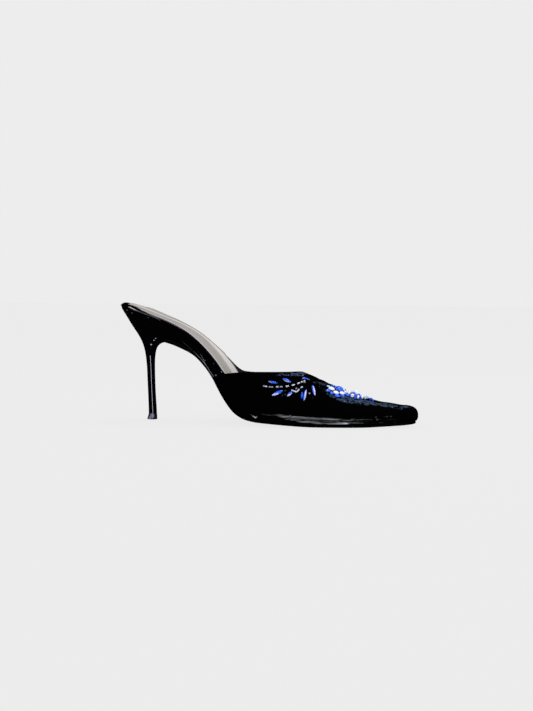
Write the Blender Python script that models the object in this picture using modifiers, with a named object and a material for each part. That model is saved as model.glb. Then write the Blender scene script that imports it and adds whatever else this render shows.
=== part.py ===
"""Pointed stiletto mule for the right foot, built as a shoemaker puts it together.

Run with: blender --background --python part.py
Metres, +Z up. The toe points along +X and the inner side of the foot lies at +Y.
All sizes below are in millimetres. A station is the distance from the back of the seat.
"""
from collections import namedtuple
from math import atan2, cos, hypot, pi, radians, sin

import bmesh
import bpy
import numpy
from mathutils import Matrix, Vector

MM = 0.001

# Driving sizes
LENGTH = 261.5          # back of the seat to the tip of the toe
RIM_LENGTH = 260.1      # the same along the sole, where the upper meets it
GAP = 0.3               # clearance between pieces that meet
WALL = 1.5              # fabric, stiffener and lining of the upper together
SOCK = 0.9              # sock leather
SOCK_INSET = 1.3        # sock edge inside the insole edge
SOCK_INSET_BACK = 6.3   # the same at the back of the seat
SEAT_ROUND = 24.0       # the seat's round end, measured along the shoe
TOE_ROUND = 12.5        # the toe's round end
TOE_CENTRE = RIM_LENGTH - TOE_ROUND
COLLAR_BACK = {-1: 98.0, 1: 90.0}   # where the upper's rear edge meets the footbed
UPPER_BACK = {-1: 91.4, 1: 83.2}    # lowest corner of that edge, on the outsole
STEP = 0.3              # half the length of the step in the insole's side there
THROAT = 162.0          # middle of the collar
SOLE_BACK = 49.0        # where the outsole butts against the heel
TIP_HEIGHT = 5.6        # heel tip
EDGE = 1.3              # rounding of the covered insole's edge
ROLL = 1.85             # padded roll round the back of the seat, over the insole inside it
ROLL_FADE = {-1: (13, 33), 1: (4, 18)}   # where it dies out, longer on the outer side
WAIST_BEVEL = 0.6       # outsole edge inside the insole's side at the waist
TOE_BEVEL = 0.8         # outsole edge inside the upper's foot at the toe
TOE_SQUARE = 0.32       # how much squarer than an ellipse the toe's front is in side view

BLACK = (0.012, 0.012, 0.014)


def smooth(at, values):
    """A curve through the values that never overshoots them."""
    at = numpy.array(at, dtype=float)
    values = numpy.array(values, dtype=float)
    step = numpy.diff(at)
    rise = numpy.diff(values) / step
    slope = numpy.zeros(len(at))
    slope[0] = rise[0]
    slope[-1] = rise[-1]
    for i in range(1, len(at) - 1):
        if rise[i - 1] * rise[i] > 0:
            before = step[i - 1] + 2 * step[i]
            after = 2 * step[i - 1] + step[i]
            slope[i] = (before + after) / (before / rise[i] + after / rise[i - 1])

    def read(x):
        x = min(max(x, at[0]), at[-1])
        i = min(int(numpy.searchsorted(at, x, side="right")) - 1, len(step) - 1)
        t = (x - at[i]) / step[i]
        start = (1 + 2 * t) * (1 - t) ** 2 * values[i] + t * (1 - t) ** 2 * step[i] * slope[i]
        end = t * t * (3 - 2 * t) * values[i + 1] - t * t * (1 - t) * step[i] * slope[i + 1]
        return float(start + end)

    return read


def table(columns, *rows):
    """Named columns of sizes; the first column says where each row lies."""
    names = columns.split()
    places = [row[0] for row in rows]
    return {name: smooth(places, [row[i] for row in rows]) for i, name in enumerate(names) if i}


def rows(columns, *values):
    """A table kept row by row, whose values are read by their column's name."""
    row = namedtuple("row", columns)
    return [row(*numbers) for numbers in values]


# Plan of the shoe: where its middle line runs and half its width, before the ends are rounded
PLAN = table(
    "station centre half",
    (0, 0.0, 23.6),
    (30, -0.2, 24.6),
    (55, -1.1, 21.4),
    (83, -1.4, 18.4),
    (105, -0.8, 22.6),
    (125, -0.5, 31.0),
    (142, -0.4, 35.8),
    (162, 0.0, 37.8),
    (178, 0.5, 37.0),
    (200, 1.2, 32.2),
    (220, 1.9, 25.0),
    (240, 2.4, 16.9),
    (252, 2.6, 12.0),
    (RIM_LENGTH, 2.6, 9.4),
)

# Footbed, a row for each section: height of its outer edge over the floor, thickness of the
# covered insole and of the outsole under it, how far the middle is dished, how much higher
# the inner edge lies, and how far the outsole's edges rise from its middle
FOOTBED = table(
    "station height insole outsole dish inner_rise crown",
    (0, 103.9, 3.8, 5.0, 1.6, 0.0, 1.5),
    (20, 97.7, 3.8, 5.0, 1.8, -1.0, 1.5),
    (28, 94.9, 4.2, 5.0, 1.8, -1.5, 1.5),
    (40, 90.4, 12.0, 5.0, 1.6, -1.8, 1.5),
    (49, 86.8, 13.3, 5.2, 1.4, -1.8, 1.4),
    (61, 80.6, 11.2, 5.3, 1.2, -1.4, 1.2),
    (68, 76.0, 10.2, 5.0, 1.1, -0.8, 1.0),
    (81, 64.2, 9.0, 2.3, 1.0, 1.2, 0.8),
    (95, 47.8, 9.6, 1.8, 0.8, 3.8, 0.8),
    (105.5, 31.6, 10.3, 1.9, 0.5, 3.4, 0.6),
    (115.5, 16.4, 8.6, 2.0, 0.3, 1.6, 0.5),
    (121, 11.2, 5.2, 2.1, 0.2, 0.8, 0.5),
    (128, 8.4, 3.0, 2.3, 0.0, 0.3, 0.6),
    (140, 7.0, 2.6, 2.5, 0.0, 0.0, 1.5),
    (160, 6.0, 2.6, 2.6, 0.0, 0.0, 1.9),
    (172, 5.6, 2.6, 2.7, 0.0, 0.0, 1.7),
    (216, 5.6, 2.6, 2.7, 0.0, 0.0, 1.3),
    (232, 6.4, 2.6, 2.7, 0.0, 0.0, 1.0),
    (RIM_LENGTH, 8.1, 2.6, 2.7, 0.0, 0.0, 0.8),
)

# Upper, a row for each section: height of the ridge of the last, how far the ridge lies to
# the inner side, height of the collar on the outer and inner side, how far the wall swells
# past the sole edge and how high over it. Behind the throat the ridge is the foot's and
# only shapes the sides
UPPER = table(
    "station ridge ridge_shift collar_outer collar_inner swell swell_height",
    (80, 96.0, 3.0, 38.0, 68.0, 0.0, 9.0),
    (90, 88.5, 3.0, 38.0, 58.0, 0.0, 9.0),
    (98.5, 82.0, 3.0, 42.7, 48.4, 0.1, 9.0),
    (106, 75.0, 3.2, 44.0, 42.8, 0.6, 9.0),
    (118, 66.0, 3.5, 45.0, 42.0, 1.2, 9.0),
    (132, 58.0, 4.0, 45.6, 42.2, 1.8, 9.0),
    (146, 51.0, 4.5, 45.5, 42.8, 2.1, 9.0),
    (THROAT, 44.2, 4.5, 44.2, 44.2, 2.2, 9.0),
    (166, 43.0, 4.4, 44.2, 44.2, 2.2, 8.9),
    (172, 40.4, 4.2, 44.2, 44.2, 2.2, 8.8),
    (190, 32.6, 3.6, 44.2, 44.2, 2.2, 8.4),
    (206, 27.4, 3.0, 44.2, 44.2, 2.1, 7.8),
    (216, 24.2, 2.6, 44.2, 44.2, 2.0, 7.2),
    (226, 21.4, 2.1, 44.2, 44.2, 1.9, 6.6),
    (240, 19.5, 1.2, 44.2, 44.2, 1.6, 5.6),
    (TOE_CENTRE, 18.4, 0.4, 44.2, 44.2, 1.4, 4.5),
    (RIM_LENGTH, 17.7, 0.0, 44.2, 44.2, 1.4, 3.4),
)

# Heel, a row for each section from the seat down: its back and front points in side view,
# half its width, where along it is widest, and how square its front corners are
HEEL = rows(
    "back_x back_z front_x front_z half widest square",
    (1.2, 104.0, 54.0, 90.0, 23.4, 0.46, 6.0),
    (1.2, 98.8, 54.0, 82.0, 23.4, 0.46, 6.0),
    (1.6, 97.2, 54.0, 79.0, 23.0, 0.46, 6.0),
    (4.9, 92.6, 53.0, 74.5, 21.8, 0.45, 5.5),
    (8.4, 86.8, 51.0, 71.0, 19.9, 0.45, 4.6),
    (12.2, 80.9, 47.0, 69.0, 17.2, 0.45, 3.6),
    (16.3, 74.8, 41.0, 68.0, 13.2, 0.46, 2.8),
    (19.2, 69.4, 35.5, 67.0, 9.6, 0.48, 2.3),
    (21.1, 64.0, 32.2, 63.2, 6.8, 0.49, 2.0),
    (22.3, 58.5, 31.3, 58.2, 5.0, 0.5, 2.0),
    (23.1, 52.5, 30.7, 52.5, 4.1, 0.5, 2.0),
    (23.8, 45.0, 30.8, 45.0, 3.6, 0.5, 2.0),
    (24.1, 36.0, 31.0, 36.0, 3.4, 0.5, 2.0),
    (24.7, 24.0, 31.4, 24.0, 3.4, 0.5, 2.0),
    (25.2, 14.0, 32.2, 14.0, 3.5, 0.5, 2.0),
    (25.4, TIP_HEIGHT + GAP, 32.6, TIP_HEIGHT + GAP, 3.7, 0.5, 2.0),
)
HEEL_TIP = rows(
    "back_x back_z front_x front_z half widest square",
    (25.4, TIP_HEIGHT, 32.6, TIP_HEIGHT, 3.8, 0.5, 2.0),
    (25.1, 3.2, 32.8, 3.2, 3.95, 0.5, 2.0),
    (24.1, 0.9, 33.0, 0.9, 4.3, 0.5, 2.0),
    (24.2, 0.0, 32.8, 0.0, 4.15, 0.5, 2.0),
)
HEEL_RING = 28          # points around a heel section

# Beaded spray. A place on the upper is a station and a drop, the distance down the wall from
# the ridge line, which is below zero on the inner side
PETALS = rows(
    "tail_station tail_drop tip_station tip_drop width",
    (138.9, 37.9, 147.9, 38.6, 2.4),
    (149.8, 31.0, 158.4, 31.6, 3.8),
    (143.2, 50.8, 153.1, 42.4, 3.2),
    (156.4, 47.4, 160.4, 41.2, 2.8),
    (171.5, 33.5, 170.9, 47.6, 2.8),
    (167.2, 38.6, 167.5, 46.2, 2.2),
    (174.6, 24.1, 179.3, 38.2, 3.4),
    (163.6, 21.0, 167.8, 18.2, 2.6),
    (168.6, 20.0, 172.8, 17.4, 2.6),
)
STEM_LINE = smooth((134, 141, 148, 155, 160, 164, 168), (44.0, 43.4, 41.0, 37.8, 34.4, 29.8, 23.4))
STEM_START = 134.0
STEM_END = 168.0
STEM_RADIUS = 0.65
STEM_POINTS = 13
CLUSTERS = rows(
    "name station drop half_length half_girth lumps",
    ("flower", 193.5, 7.5, 7.5, 15.5, 6),
    ("bead_trail", 213.5, 4.5, 11.0, 9.5, 5),
)
BEAD_RISE = 1.6         # a bead's top over its foot
INNER_DROP = -0.9       # the inner wall is shorter, so the spray's drops are too
BEAD_SECTION = ((0.0, 1.0), (0.6, 0.8), (1.0, 0.2), (0.88, 0.0), (0.0, 0.0))
BEAD_RING = 8           # points around a bead


def ease(x, start, end):
    """0 before start, 1 after end, and a soft step between."""
    t = min(max((x - start) / (end - start), 0.0), 1.0)
    return t * t * (3 - 2 * t)


def half_width(station):
    """Half the width of the sole at a station, with the seat and the toe rounded off."""
    seat = 1 - min(max(station, 0.0) / SEAT_ROUND, 1.0)
    toe = 1 - min(max(RIM_LENGTH - station, 0.0) / TOE_ROUND, 1.0)
    return PLAN["half"](station) * (1 - seat * seat) ** 0.5 * (1 - toe * toe) ** 0.5


def bed_slope(station):
    step = 0.5
    rise = FOOTBED["height"](station + step) - FOOTBED["height"](station - step)
    return rise / (2 * step)


def bed_point(rim, spine, side, share, depth):
    """A point under the footbed, a share of the way from its rim to the middle line.

    Side is -1 on the outer side and 1 on the inner side. Depth is square to the footbed,
    and straight down under the seat.
    """
    station = rim + (spine - rim) * share
    slope = bed_slope(station) * ease(station, 35, 60)
    drift = depth * slope / hypot(1, slope)
    plan = rim + drift if rim == spine else rim
    aside = side * (1 - share) * half_width(plan)
    across = aside / PLAN["half"](plan)
    y = PLAN["centre"](station + drift) + aside
    dish = FOOTBED["dish"](station) * (1 - across * across)
    rise = FOOTBED["inner_rise"](station) * (across + 1) / 2
    fade = 1 - min(max(depth / FOOTBED["insole"](station), 0.0), 1.0)
    z = FOOTBED["height"](station) - depth / hypot(1, slope) + (rise - dish) * fade
    return Vector((station + drift, y, z))


def stations_along(*runs):
    """Stations through runs of (start, end, count, spacing)."""
    stations = []
    for start, end, count, spacing in runs:
        for i in range(count):
            t = i / count
            if spacing == "round start":
                t = 1 - cos(pi / 2 * t)
            if spacing == "round end":
                t = sin(pi / 2 * t)
            stations.append(start + (end - start) * t)
    return stations + [runs[-1][1]]


def world(point):
    """From stations in millimetres to the shoe's frame in metres."""
    return Vector((point[0] - LENGTH / 2, point[1], point[2])) * MM


def sheet(name, columns, levels, place, close=False):
    """A grid bent to shape by place(column, level), with its meeting edges joined."""
    bm = bmesh.new()
    bmesh.ops.create_grid(bm, x_segments=columns - 1, y_segments=levels - 1, size=0.5)
    for vertex in bm.verts:
        column = round((vertex.co.x + 0.5) * (columns - 1))
        level = round((vertex.co.y + 0.5) * (levels - 1))
        vertex.co = world(place(column, level))
    bmesh.ops.remove_doubles(bm, verts=bm.verts, dist=1e-6)
    if close:
        rims = [edge for edge in bm.edges if edge.is_boundary]
        bmesh.ops.holes_fill(bm, edges=rims)
        bmesh.ops.recalc_face_normals(bm, faces=bm.faces)
    mesh = bpy.data.meshes.new(name)
    bm.to_mesh(mesh)
    bm.free()
    return mesh


def slab(name, stations, levels):
    """A closed piece that follows the footbed, from its middle line over the rim and back.

    levels(station, side) lists (inset, share, depth): a point lies inset from the rim, plus a
    share of the way from there to the middle line.
    """
    loop = [(s, -1) for s in stations] + [(s, 1) for s in reversed(stations)]

    def place(column, level):
        rim, side = loop[column]
        spine = min(max(rim, SEAT_ROUND), TOE_CENTRE)
        inset, share, _ = levels(rim, side)[level]
        depth = levels(rim + (spine - rim) * share, side)[level][2]
        at_rim = bed_point(rim, spine, side, 0.0, depth)
        in_middle = bed_point(rim, spine, side, 1.0, depth)
        reach = hypot(at_rim.x - in_middle.x, at_rim.y - in_middle.y)
        start = min(inset / reach, 0.98)
        return bed_point(rim, spine, side, start + (1 - start) * share, depth)

    return sheet(name, len(loop), len(levels(stations[0], -1)), place, close=True)


SHANK_STATIONS = stations_along(
    (SOLE_BACK, COLLAR_BACK[1] - STEP, 8, "even"),
    (COLLAR_BACK[1] - STEP, COLLAR_BACK[1] + STEP, 1, "even"),
    (COLLAR_BACK[1] + STEP, COLLAR_BACK[-1] - STEP, 2, "even"),
)
SEAT_AND_SHANK_STATIONS = stations_along(
    (0.0, SEAT_ROUND, 9, "round start"),
    (SEAT_ROUND, SOLE_BACK, 6, "even"),
)[:-1] + SHANK_STATIONS
FORE_STATIONS = stations_along(
    (COLLAR_BACK[-1] + STEP, 132, 9, "even"),
    (132, 172, 4, "even"),
    (172, 216, 4, "even"),
    (216, TOE_CENTRE, 4, "even"),
    (TOE_CENTRE, RIM_LENGTH, 6, "round end"),
)


def tucked(station, side):
    """How far the insole stands back from the rim to leave room for the upper."""
    return 1.1 * (WALL + GAP) if station > COLLAR_BACK[side] else 0.0


def insole_levels(station, side):
    thick = FOOTBED["insole"](station)
    edge = tucked(station, side)
    roll = 1 - ease(station, *ROLL_FADE[side])
    corner = 0.5 * (1 - ease(station, 3, 10))
    return (
        (edge, 1.0, 0.0),
        (edge, 0.62, 0.0),
        (edge, 0.26, 0.0),
        (edge + 1.8 * EDGE + 3.6 * roll, 0.0, 0.0),
        (edge + EDGE + 3.2 * roll, 0.0, -ROLL * roll),
        (edge + 0.6 * EDGE + 1.7 * roll, 0.0, 0.08 * EDGE - 0.68 * roll),
        (edge + 0.3 * EDGE + 0.4 * roll + corner, 0.0, 0.3 * EDGE + 0.95 * roll),
        (edge + corner, 0.0, EDGE + 1.6 * roll),
        (edge + corner, 0.0, thick - 0.4 * EDGE),
        (edge + 0.4 * EDGE + corner, 0.0, thick),
        (edge, 0.26, thick),
        (edge, 0.62, thick),
        (edge, 1.0, thick),
    )


def sock_levels(station, side):
    back = SOCK_INSET_BACK - SOCK_INSET
    start, end = ROLL_FADE[side]
    edge = SOCK_INSET + back * (1 - ease(station, start + 4, end + 4)) + tucked(station, side)
    return (
        (edge, 1.0, -GAP - SOCK),
        (edge, 0.62, -GAP - SOCK),
        (edge, 0.26, -GAP - SOCK),
        (edge + 0.5 * SOCK, 0.0, -GAP - SOCK),
        (edge, 0.0, -GAP - 0.5 * SOCK),
        (edge, 0.0, -GAP),
        (edge, 0.26, -GAP),
        (edge, 0.62, -GAP),
        (edge, 1.0, -GAP),
    )


def outsole_levels(station, side):
    top = FOOTBED["insole"](station) + GAP
    low = top + FOOTBED["outsole"](station)
    crown = FOOTBED["crown"](station)
    edge = WAIST_BEVEL * (1 - ease(station, 100, 130)) + TOE_BEVEL * ease(station, 225, 252)
    return (
        (edge, 1.0, top),
        (edge, 0.3, top),
        (edge + 0.2, 0.0, top),
        (edge, 0.0, top + 0.2),
        (edge, 0.0, low - crown - 0.3),
        (edge + 0.5, 0.0, low - crown),
        (edge, 0.12, low - 0.45 * crown),
        (edge, 0.3, low - 0.12 * crown),
        (edge, 0.55, low),
        (edge, 1.0, low),
    )


def seat_clearance_levels(station, side):
    """What the heel's top is cut to: everything over the insole's underside."""
    low = FOOTBED["insole"](station) + GAP
    return (
        (-4.0, 1.0, -15.0),
        (-4.0, 0.0, -15.0),
        (-4.0, 0.0, low),
        (0.4 * EDGE, 0.0, low),
        (0.0, 0.26, low),
        (0.0, 0.62, low),
        (0.0, 1.0, low),
    )


def feather_line():
    """Height of the outsole's upper face where the upper stands on it, read along the shoe."""
    places = [80 + 0.5 * i for i in range(int((RIM_LENGTH - 80) / 0.5) + 1)]
    points = [bed_point(s, s, -1, 0.0, FOOTBED["insole"](s) + GAP) for s in places]
    xs = [point.x for point in points]
    zs = [point.z for point in points]
    return lambda x: float(numpy.interp(x, xs, zs))


FEATHER = feather_line()


def collar_height(station, side):
    """Height of the collar; at the back it runs down the insole's side to the outsole."""
    back = COLLAR_BACK[side]
    top = bed_point(back, back, side, 0.0, 0.0)
    foot = bed_point(back, back, side, 0.0, FOOTBED["insole"](back))
    down = (station - foot.x) / (top.x - foot.x)
    rear = foot.z + (top.z - foot.z) * down - 2 * GAP
    row = "collar_outer" if side < 0 else "collar_inner"
    return min(UPPER[row](station), rear)


def wall_line(rim, side):
    """The upper's outside at a rim station, from the sole edge to the collar or the ridge.

    Returns the plan point of the ridge, the direction outwards, and the distance out, the
    height and the length walked for points along the line.
    """
    spine = min(rim, TOE_CENTRE)
    ridge = Vector((spine, PLAN["centre"](spine) + UPPER["ridge_shift"](spine)))
    foot = Vector((rim, PLAN["centre"](rim) + side * half_width(rim)))
    reach = (foot - ridge).length
    outwards = (foot - ridge) / reach
    base = FEATHER(rim) + GAP
    bed = FOOTBED["height"](rim)
    widest = base + max(UPPER["swell_height"](rim), bed - base)
    swell = UPPER["swell"](rim)
    top = UPPER["ridge"](spine)
    squareness = 1 - TOE_SQUARE * ease(rim, 245, 256)
    out = []
    height = []
    for i in range(12):
        t = i / 12
        out.append(reach + swell * (1 - (1 - t) ** 2))
        height.append(base + (widest - base) * t)
    for i in range(61):
        turn = pi / 2 * i / 60
        out.append((reach + swell) * max(0.0, cos(turn)) ** squareness)
        height.append(widest + (top - widest) * sin(turn) ** squareness)
    walked = [0.0]
    for i in range(1, len(out)):
        walked.append(walked[-1] + hypot(out[i] - out[i - 1], height[i] - height[i - 1]))
    return ridge, outwards, out, height, walked


def on_line(line, place):
    """The point of a wall line after a length walked along it."""
    ridge, outwards, out, height, walked = line
    distance = float(numpy.interp(place, walked, out))
    z = float(numpy.interp(place, walked, height))
    return Vector((ridge.x + outwards.x * distance, ridge.y + outwards.y * distance, z))


def wall_point(rim, side, level):
    """A point of the upper's outside: level 0 at the sole edge, 1 at the collar or ridge."""
    line = wall_line(rim, side)
    height, walked = line[3:]
    end = walked[-1]
    if rim < THROAT:
        end = float(numpy.interp(collar_height(rim, side), height, walked))
    return on_line(line, end * level)


def upper_stations(side):
    return stations_along(
        (UPPER_BACK[side], 118, 10, "even"),
        (118, 150, 7, "even"),
        (150, THROAT, 5, "round end"),
        (THROAT, 240, 13, "even"),
        (240, TOE_CENTRE, 2, "even"),
        (TOE_CENTRE, RIM_LENGTH, 6, "round end"),
    )


def make_upper():
    """The vamp: one wall bent over the last, open at the collar and underneath."""
    loop = [(s, -1) for s in upper_stations(-1)]
    loop += [(s, 1) for s in reversed(upper_stations(1)[:-1])]
    levels = 13

    def place(column, level):
        rim, side = loop[column]
        return wall_point(rim, side, level / (levels - 1))

    return sheet("upper", len(loop), levels, place)


def heel_mesh(name, sections):
    """Heel sections from the seat down, each a ring that is round behind and squarer in front."""
    def place(column, level):
        section = sections[level]
        turn = 2 * pi * column / HEEL_RING
        front = cos(turn) > 0
        power = 2 / section.square if front else 1.0
        span = 1 - section.widest if front else -section.widest
        along = section.widest + span * abs(cos(turn)) ** power
        aside = section.half * abs(sin(turn)) ** power * (-1 if turn < pi else 1)
        x = section.back_x + (section.front_x - section.back_x) * along
        z = section.back_z + (section.front_z - section.back_z) * along
        return Vector((x, aside, z))

    return sheet(name, HEEL_RING + 1, len(sections), place, close=True)


def breast_block():
    """A block from the outsole's rear end forwards, which the heel's front is cut to."""
    top = bed_point(SOLE_BACK, SOLE_BACK, -1, 1.0, 0.0)
    low = bed_point(SOLE_BACK, SOLE_BACK, -1, 1.0, 20.0)
    lean = atan2(top.x - low.x, top.z - low.z)
    size = 80.0
    bm = bmesh.new()
    bmesh.ops.create_cube(bm, size=size * MM)
    forward = Vector((cos(lean), 0, -sin(lean)))
    middle = (top + low) / 2 + forward * (size / 2 - GAP)
    turn = Matrix.Rotation(lean, 4, "Y")
    bmesh.ops.transform(bm, matrix=Matrix.Translation(world(middle)) @ turn, verts=bm.verts)
    mesh = bpy.data.meshes.new("breast_clearance")
    bm.to_mesh(mesh)
    bm.free()
    return mesh


def on_upper(station, drop, lift):
    """A point lifted square off the upper's outside."""
    def at(x, down):
        line = wall_line(x, -1 if down >= 0 else 1)
        return on_line(line, line[-1][-1] - abs(down))

    reach = 0.5
    ahead = at(station + reach, drop) - at(station - reach, drop)
    down = at(station, drop + reach) - at(station, drop - reach)
    return at(station, drop) + down.cross(ahead).normalized() * lift


def bead_mesh(name, station, drop, half_length, half_width, turn=0.0, point=0.5, lumps=0):
    """A domed piece that hugs the upper: a petal bead, or a cluster of beads.

    Turn is its direction on the wall, point sharpens its ends and lumps waves its outline.
    """
    around = max(BEAD_RING, 4 * lumps)

    def place(column, level):
        spread, rise = BEAD_SECTION[level]
        angle = 2 * pi * column / around
        wave = 1 - 0.1 * (1 - cos(lumps * angle))
        along = half_length * spread * wave * cos(angle)
        across = half_width * spread * wave * sin(angle) * abs(sin(angle)) ** point
        x = station + along * cos(turn) - across * sin(turn)
        down = drop + along * sin(turn) + across * cos(turn)
        return on_upper(x, down, 1.2 * GAP + BEAD_RISE * rise)

    return sheet(name, around + 1, len(BEAD_SECTION), place, close=True)


def petal_mesh(name, petal, scale):
    run = petal.tip_station - petal.tail_station
    fall = (petal.tip_drop - petal.tail_drop) * scale
    station = (petal.tail_station + petal.tip_station) / 2
    drop = (petal.tail_drop + petal.tip_drop) / 2 * scale
    return bead_mesh(name, station, drop, hypot(run, fall) / 2, petal.width / 2, atan2(fall, run))


def add_stem(name, scale, material, collection):
    """The stem of small beads, as one cord that follows the upper."""
    curve = bpy.data.curves.new(name, "CURVE")
    curve.dimensions = "3D"
    curve.bevel_depth = STEM_RADIUS * MM
    curve.bevel_resolution = 1
    curve.use_fill_caps = True
    line = curve.splines.new("POLY")
    line.points.add(STEM_POINTS - 1)
    for i, point in enumerate(line.points):
        station = STEM_START + (STEM_END - STEM_START) * i / (STEM_POINTS - 1)
        place = on_upper(station, STEM_LINE(station) * scale, 1.6 * GAP + STEM_RADIUS)
        point.co = (*world(place), 1.0)
    curve.materials.append(material)
    collection.objects.link(bpy.data.objects.new(name, curve))


def add_beading(collection):
    blue = principled("blue_glass", (0.05, 0.12, 0.75), 0.15, coat=0.5)
    silver = principled("silver_beads", (0.8, 0.84, 0.9), 0.2, metallic=0.3)
    for side, scale in (("outer", 1.0), ("inner", INNER_DROP)):
        for number, petal in enumerate(PETALS, 1):
            name = f"petal_{side}_{number}"
            add_piece(name, petal_mesh(name, petal, scale), blue, collection)
        add_stem(f"bead_stem_{side}", scale, silver, collection)
    for cluster in CLUSTERS:
        mesh = bead_mesh(*cluster[:5], point=0.0, lumps=cluster.lumps)
        add_piece(cluster.name, mesh, silver, collection)


def add_piece(name, mesh, material, collection):
    piece = bpy.data.objects.new(name, mesh)
    mesh.materials.append(material)
    mesh.shade_smooth()
    mesh.set_sharp_from_angle(angle=radians(50))
    collection.objects.link(piece)
    return piece


def add_cutter(name, mesh, collection):
    cutter = bpy.data.objects.new(name, mesh)
    cutter.hide_render = True
    cutter.display_type = "WIRE"
    collection.objects.link(cutter)
    return cutter


def cut(piece, cutter):
    step = piece.modifiers.new("cut_" + cutter.name, "BOOLEAN")
    step.operation = "DIFFERENCE"
    step.solver = "EXACT"
    step.object = cutter


def principled(name, colour, roughness, metallic=0.0, coat=0.0):
    material = bpy.data.materials.new(name)
    material.use_nodes = True
    shader = material.node_tree.nodes["Principled BSDF"]
    shader.inputs["Base Color"].default_value = (*colour, 1.0)
    shader.inputs["Roughness"].default_value = roughness
    shader.inputs["Metallic"].default_value = metallic
    shader.inputs["Coat Weight"].default_value = coat
    return material


def new_collection(name):
    collection = bpy.data.collections.new(name)
    bpy.context.scene.collection.children.link(collection)
    return collection


def main():
    for leftover in list(bpy.data.objects):
        bpy.data.objects.remove(leftover, do_unlink=True)
    shoe = new_collection("high_heel_mule")
    cutters = new_collection("cutters")

    patent = principled("patent_leather", BLACK, 0.12, coat=1.0)
    sock_leather = principled("sock_leather", (0.46, 0.43, 0.38), 0.6)
    sole_leather = principled("sole_leather", BLACK, 0.45)
    whole = SEAT_AND_SHANK_STATIONS + FORE_STATIONS
    add_piece("insole", slab("insole", whole, insole_levels), patent, shoe)
    add_piece("sock", slab("sock", whole, sock_levels), sock_leather, shoe)
    tread = SHANK_STATIONS + FORE_STATIONS
    add_piece("outsole", slab("outsole", tread, outsole_levels), sole_leather, shoe)

    velvet = principled("vamp_fabric", BLACK, 0.8)
    upper = add_piece("upper", make_upper(), velvet, shoe)
    wall = upper.modifiers.new("wall", "SOLIDIFY")
    wall.thickness = WALL * MM
    wall.offset = -1.0
    wall.use_even_offset = True

    heel = add_piece("heel", heel_mesh("heel", HEEL), patent, shoe)
    seat = slab("seat_clearance", SEAT_AND_SHANK_STATIONS, seat_clearance_levels)
    cut(heel, add_cutter("seat_clearance", seat, cutters))
    cut(heel, add_cutter("breast_clearance", breast_block(), cutters))
    tip_plastic = principled("heel_tip_plastic", BLACK, 0.35)
    add_piece("heel_tip", heel_mesh("heel_tip", HEEL_TIP), tip_plastic, shoe)
    add_beading(shoe)


main()
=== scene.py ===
"""Dresses the high-heeled mule: velvet vamp, patent heel and waist, leather sock, sewn beading.

Tables are in millimetres. A station is how far a place lies ahead of the back of the seat, towards
the toe; y runs to the foot's inner side, and z up from the floor.
"""
from math import cos, pi, radians, sin

import bmesh
import bpy
import numpy
from mathutils import Matrix, Vector
from mathutils.bvhtree import BVHTree


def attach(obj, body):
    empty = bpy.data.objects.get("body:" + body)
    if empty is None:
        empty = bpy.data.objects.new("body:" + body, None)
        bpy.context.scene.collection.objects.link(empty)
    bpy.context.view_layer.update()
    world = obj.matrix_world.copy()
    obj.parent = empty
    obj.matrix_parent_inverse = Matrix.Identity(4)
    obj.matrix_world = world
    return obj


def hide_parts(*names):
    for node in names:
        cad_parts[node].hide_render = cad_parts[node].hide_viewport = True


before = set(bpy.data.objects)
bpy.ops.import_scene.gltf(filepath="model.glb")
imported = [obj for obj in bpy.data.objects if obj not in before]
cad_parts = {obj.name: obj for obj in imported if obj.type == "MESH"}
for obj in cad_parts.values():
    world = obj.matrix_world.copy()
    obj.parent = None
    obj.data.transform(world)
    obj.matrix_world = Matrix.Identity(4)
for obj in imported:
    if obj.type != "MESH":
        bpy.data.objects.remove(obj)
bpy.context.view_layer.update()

MM = 0.001
SEAT_BACK = -130.75 * MM               # the back of the seat; stations run from here to the toe


# ---------------------------------------------------------------- node materials

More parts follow.
